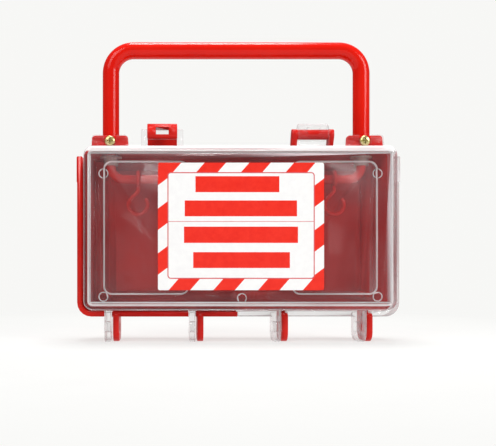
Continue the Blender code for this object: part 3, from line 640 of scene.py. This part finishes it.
def make_label():
    """Vinyl label: striped border, outlined panel, and plain bars where words would be."""
    node = "label_sheet"
    low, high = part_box(node)
    form = welded(node)
    left, right, bottom, top = LABEL_PANEL
    line, radius = LABEL_LINE, LABEL_CORNER
    thin = line / 4  # half the width of the dividing line
    # The border's rows (top 1, bottom -1) and columns (right 1, left -1).
    row_middle = {1: (top + high[2] / MM) / 2, -1: (bottom + low[2] / MM) / 2}
    column_middle = {1: (right + high[0] / MM) / 2, -1: (left + low[0] / MM) / 2}

    def slice_at(point, normal, where=None):
        """Cut the faces that pass the test, or all of them, by a plane."""
        faces = [f for f in form.faces if where is None or where(*spot(f))]
        edges = dict.fromkeys(e for f in faces for e in f.edges)
        verts = dict.fromkeys(v for f in faces for v in f.verts)
        bmesh.ops.bisect_plane(
            form,
            geom=[*faces, *edges, *verts],
            plane_co=[c * MM for c in point],
            plane_no=normal,
        )

    def spot(face):
        centre = face.calc_center_median() / MM
        return centre.x, centre.z

    def row_of(x, z):
        return (left < x < right) * ((z > top) - (z < bottom))

    def column_of(x, z):
        return (bottom < z < top) * ((x > right) - (x < left))

    def in_panel(x, z, inset):
        """Whether a point is in the round-cornered panel, made smaller by an inset."""
        corner = radius - inset
        across = max(left + radius - x, x - right + radius, 0.0)
        up = max(bottom + radius - z, z - top + radius, 0.0)
        return math.hypot(across, up) < corner if across and up else max(across, up) < corner

    for x in (left, left + line, left + radius, right - radius, right - line, right):
        slice_at((x, 0, 0), (1, 0, 0))
    for z in (bottom, bottom + line, bottom + radius, top - radius, top - line, top,
              LABEL_DIVIDER - thin, LABEL_DIVIDER + thin):
        slice_at((0, 0, z), (0, 0, 1))
    for x, side_x in ((left + radius, -1), (right - radius, 1)):
        for z, side_z in ((bottom + radius, -1), (top - radius, 1)):
            for turn in (15.0, 45.0, 75.0):
                angle = math.radians(turn)
                normal = (side_x * math.cos(angle), 0, side_z * math.sin(angle))
                for reach in (radius - line, radius):
                    slice_at(
                        (x + reach * normal[0], 0, z + reach * normal[2]),
                        normal,
                        lambda a, b: 0 < side_x * (a - x) < radius
                        and 0 < side_z * (b - z) < radius,
                    )
    for begin, end, base, crest in LABEL_BARS:
        slice_at((0, 0, base), (0, 0, 1))
        slice_at((0, 0, crest), (0, 0, 1))
        slice_at((begin, 0, 0), (1, 0, 0))
        slice_at((end, 0, 0), (1, 0, 0))
    for side in (1, -1):
        for number in range(4):
            for reach in (0.0, STRIPE_WIDTH):
                along = STRIPE_PITCH * number + reach
                slice_at(
                    (ROW_START[side] + along, 0, row_middle[side]),
                    (1, 0, -ROW_LEAN),
                    lambda a, b: row_of(a, b) == side,
                )
                slice_at(
                    (column_middle[side], 0, COLUMN_START[side] + along),
                    (-COLUMN_LEAN, 0, 1),
                    lambda a, b: column_of(a, b) == side,
                )

    def ink(x, z):
        """0 for white, 1 for red, 2 for the panel's outline."""
        if in_panel(x, z, 0.0):
            if not in_panel(x, z, line) or abs(z - LABEL_DIVIDER) < thin:
                return 2
            return int(any(l < x < r and b < z < t for l, r, b, t in LABEL_BARS))
        row, column = row_of(x, z), column_of(x, z)
        if row:
            along = x - (z - row_middle[row]) * ROW_LEAN - ROW_START[row]
        elif column:
            along = z - (x - column_middle[column]) * COLUMN_LEAN - COLUMN_START[column]
        else:
            return int((x < 0) == (z > LABEL_DIVIDER))
        return int(along % STRIPE_PITCH < STRIPE_WIDTH)

    for face in form.faces:
        if face.calc_center_median().y < low[1] + 0.05 * MM:
            face.material_index = ink(*spot(face))
    mesh = to_mesh(form, node)
    finishes = ["label_white", "label_red", "label_line"]
    piece_from("label_sheet_printed", mesh, "label_vinyl", [node], finishes)


def make_shell(node, slot, accents=()):
    """Moulded shell.

    Its first accent is a painted highlight for ribs and ring marks, its second one for its frame.
    """
    form = welded(node)
    if accents:
        for x, z in MARKS:
            disc = []
            for face in form.faces:
                centre = face.calc_center_median() / MM
                raised = abs(centre.y - FACE_INSIDE_Y - MARK_HEIGHT) < 0.05
                near = math.hypot(centre.x - x, centre.z - z) < MARK_RADIUS
                if raised and near and abs(face.normal.y) > 0.9:
                    disc.append(face)
            if disc:
                bmesh.ops.inset_region(
                    form, faces=disc, thickness=MARK_LINE * MM, use_even_offset=True
                )
        for face in form.faces:
            centre = face.calc_center_median() / MM
            raised = RIB_ROOM[0] < centre.y - FACE_INSIDE_Y < RIB_ROOM[1]
            on_face = abs(centre.x) < FACE_HALF_WIDTH and FACE_LOW < centre.z < FACE_HIGH
            in_mark = min(math.hypot(centre.x - x, centre.z - z) for x, z in MARKS) <= MARK_INSIDE
            if raised and on_face and not in_mark:
                # Ribs inside the frame and the frame itself each get a painted highlight finish.
                inside = abs(centre.x) <= FRAME_HALF_WIDTH and FRAME_LOW <= centre.z <= FRAME_HIGH
                face.material_index = 1 if inside else 2
    mesh = to_mesh(form, node)
    piece_from(f"{node}_fine", mesh, slot, [node], [slot, *accents])


def make_small_parts():
    """Pieces whose CAD shape is right: rounded edges and a full finish."""
    for slot, nodes in (
        ("nylon", ("handle_saddle_left", "handle_saddle_right", "rail_collar_left",
                   "rail_collar_right", "tube_insert_left", "tube_insert_right")),
        ("bright_zinc", ("clamp_plate_left", "clamp_plate_right")),
        ("zinc_yellow", ("handle_nut_left", "handle_nut_right")),
    ):
        for node in nodes:
            finish = "nylon_thin" if node.startswith("rail_collar") else slot
            piece_from(f"{node}_fine", to_mesh(welded(node), node), slot, [node], [finish])


def make_room():
    """Plain pale floor, white background and soft studio light."""
    mesh = bpy.data.meshes.new("floor")
    half = 6.0
    mesh.from_pydata(
        [(-half, -half, 0.0), (half, -half, 0.0), (half, half, 0.0), (-half, half, 0.0)],
        [],
        [(0, 1, 2, 3)],
    )
    mesh.materials.append(floor_paper())
    floor = bpy.data.objects.new("floor", mesh)
    bpy.context.scene.collection.objects.link(floor)
    world = bpy.data.worlds.new("studio")
    bpy.context.scene.world = world
    world.use_nodes = True
    nodes, links = world.node_tree.nodes, world.node_tree.links
    seen = nodes["Background"]
    seen.inputs["Color"].default_value = BACKGROUND
    seen.inputs["Strength"].default_value = 1.0
    unseen = nodes.new("ShaderNodeBackground")
    unseen.inputs["Color"].default_value = (1.0, 1.0, 1.0, 1)
    unseen.inputs["Strength"].default_value = 0.20
    ray = nodes.new("ShaderNodeLightPath")
    mix = nodes.new("ShaderNodeMixShader")
    links.new(ray.outputs["Is Camera Ray"], mix.inputs[0])
    links.new(unseen.outputs[0], mix.inputs[1])
    links.new(seen.outputs[0], mix.inputs[2])
    links.new(mix.outputs[0], nodes["World Output"].inputs["Surface"])
    for name, place, size, power in (  # metres, metres and watts
        ("key", (-1.1, -1.5, 1.5), 1.1, 20.0),
        ("fill", (1.5, -1.2, 0.9), 0.9, 22.0),
        ("top", (0.0, 0.1, 1.6), 0.6, 24.0),
        ("back", (0.3, 1.6, 1.2), 1.2, 6.0),
    ):
        data = bpy.data.lights.new(name, "AREA")
        data.size = size
        data.energy = power
        light = bpy.data.objects.new(name, data)
        light.location = place
        aim = Vector((0.0, 0.0, 0.1)) - Vector(place)
        light.rotation_euler = aim.to_track_quat("-Z", "Y").to_euler()
        bpy.context.scene.collection.objects.link(light)
    bpy.context.scene.view_settings.view_transform = "Standard"


make_camera()
make_shell("cover_shell", "clear_plastic", ("rib_highlight", "frame_highlight"))
make_shell("base_shell", "red_plastic")
make_handle()
make_rail()
make_key_hooks()
make_screw("left")
make_screw("right")
make_label()
make_small_parts()
make_room()
